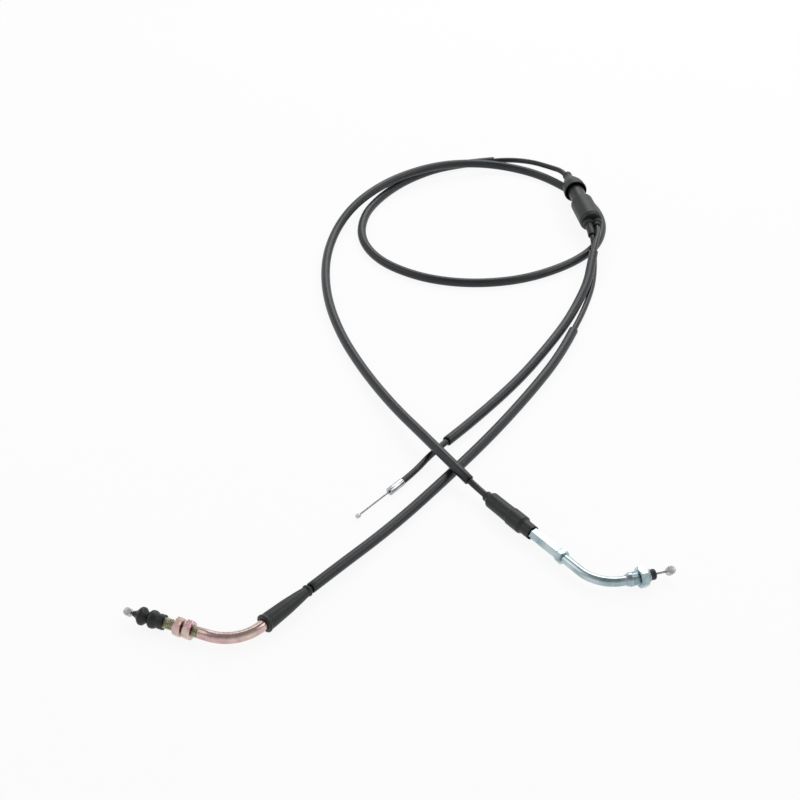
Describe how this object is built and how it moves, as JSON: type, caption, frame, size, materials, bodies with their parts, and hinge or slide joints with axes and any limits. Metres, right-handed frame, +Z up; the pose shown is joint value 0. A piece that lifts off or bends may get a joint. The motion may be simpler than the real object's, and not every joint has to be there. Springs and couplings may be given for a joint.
{
  "type": "throttle cable",
  "caption": "Twin-outlet throttle cable with a splitter: bent threaded elbow and adjuster at one end, a plain ferrule and a bent threaded elbow at the others, in looped conduit.",
  "frame": {"origin": "on the floor under the middle of the box round the metal, plastic and rubber fittings, conduits and sleeves left out", "axes": "+Z up from the surface the cable lies on, +Y from the pump and throttle elbows towards the splitter, +X towards the throttle nipple"},
  "size_m": [0.3837, 0.6796, 0.0277],
  "materials": {
    "sleeve_pvc": "semi-matt extruded soft PVC",
    "conduit_pvc": "glossy extruded PVC",
    "liner_plastic": "natural low-friction plastic",
    "wire_steel": "twisted galvanised steel wire",
    "clear_zinc": "clear zinc plating",
    "pink_zinc": "iridescent passivated zinc plating",
    "cast_zinc": "dull cast zinc",
    "bright_steel": "bright nickel plating",
    "rubber": "moulded black rubber",
    "black_plastic": "moulded black plastic"
  },
  "bodies": {
    "cable_set": {"adjuster_boot": "rubber", "carb_casing": "conduit_pvc", "carb_ferrule": "bright_steel", "carb_liner": "liner_plastic", "carb_sleeve": "sleeve_pvc", "carb_wire_run": "wire_steel", "pump_bellows": "rubber", "pump_boot": "rubber", "pump_casing": "conduit_pvc", "pump_conduit_ferrule": "clear_zinc", "pump_elbow": "pink_zinc", "pump_elbow_liner": "liner_plastic", "pump_elbow_wire_run": "wire_steel", "pump_liner": "liner_plastic", "pump_sleeve": "sleeve_pvc", "pump_wire_run": "wire_steel", "splitter_barrel": "black_plastic", "splitter_input_cap": "rubber", "splitter_input_ferrule": "clear_zinc", "splitter_output_boot": "rubber", "splitter_output_cap": "black_plastic", "splitter_output_ferrules": "clear_zinc", "throttle_casing": "conduit_pvc", "throttle_conduit_ferrule": "clear_zinc", "throttle_liner": "liner_plastic", "throttle_sleeve": "sleeve_pvc", "throttle_wire_run": "wire_steel"},
    "adjuster": {"adjuster_hex": "clear_zinc", "adjuster_lock_nut": "clear_zinc"},
    "elbow_end": {"throttle_elbow": "clear_zinc", "throttle_elbow_liner": "liner_plastic", "throttle_collar": "clear_zinc", "throttle_end_bush": "rubber", "elbow_wire_run": "wire_steel"},
    "throttle_fixing_nut": {"throttle_nut": "clear_zinc"},
    "throttle_pull_end": {"throttle_wire_end": "wire_steel", "throttle_nipple": "cast_zinc"},
    "junction": {"junction_slider": "black_plastic", "junction_nipples": "cast_zinc", "junction_wires": "wire_steel"},
    "carb_pull_end": {"carb_wire_end": "wire_steel", "carb_nipple": "cast_zinc"},
    "pump_pull_end": {"pump_wire_end": "wire_steel", "pump_nipple": "cast_zinc"},
    "pump_nut_front_body": {"pump_nut_front": "pink_zinc"},
    "pump_nut_rear_body": {"pump_nut_rear": "pink_zinc"}
  },
  "joints": [
    {"name": "throttle_pull", "type": "slide", "parent": "elbow_end", "child": "throttle_pull_end", "axis": [0.9568, 0.2907, 0], "range_m": [0, 0.014]},
    {"name": "junction_slide", "type": "slide", "parent": "cable_set", "child": "junction", "axis": [-0.165, 0.9863, 0], "range_m": [0, 0.014]},
    {"name": "carb_pull", "type": "slide", "parent": "cable_set", "child": "carb_pull_end", "axis": [0.6428, 0.766, 0], "range_m": [0, 0.014]},
    {"name": "pump_pull", "type": "slide", "parent": "cable_set", "child": "pump_pull_end", "axis": [0.9317, -0.3633, 0], "range_m": [0, 0.014], "deforming": ["pump_bellows"]},
    {"name": "adjuster_turn", "type": "hinge", "parent": "cable_set", "child": "adjuster", "pos_m": [0.0597, -0.1607, 0.0071], "axis": [0.6088, -0.7934, 0], "range_deg": [0, 1800]},
    {"name": "elbow_travel", "type": "slide", "parent": "cable_set", "child": "elbow_end", "axis": [0.6088, -0.7934, 0], "range_m": [0, 0.005]},
    {"name": "throttle_nut_travel", "type": "slide", "parent": "elbow_end", "child": "throttle_fixing_nut", "axis": [-0.9568, -0.2907, 0], "range_m": [0, 0.004]},
    {"name": "pump_nut_front_travel", "type": "slide", "parent": "cable_set", "child": "pump_nut_front_body", "axis": [-0.9317, 0.3633, 0], "range_m": [0, 0.006]},
    {"name": "pump_nut_rear_travel", "type": "slide", "parent": "cable_set", "child": "pump_nut_rear_body", "axis": [0.9317, -0.3633, 0], "range_m": [0, 0.004]}
  ],
  "couplings": [
    {"joint": "junction_slide", "follows": "throttle_pull", "ratio": 1},
    {"joint": "carb_pull", "follows": "throttle_pull", "ratio": 1},
    {"joint": "pump_pull", "follows": "throttle_pull", "ratio": 1},
    {"joint": "elbow_travel", "follows": "adjuster_turn", "m_per_rad": 0.00015915}
  ]
}
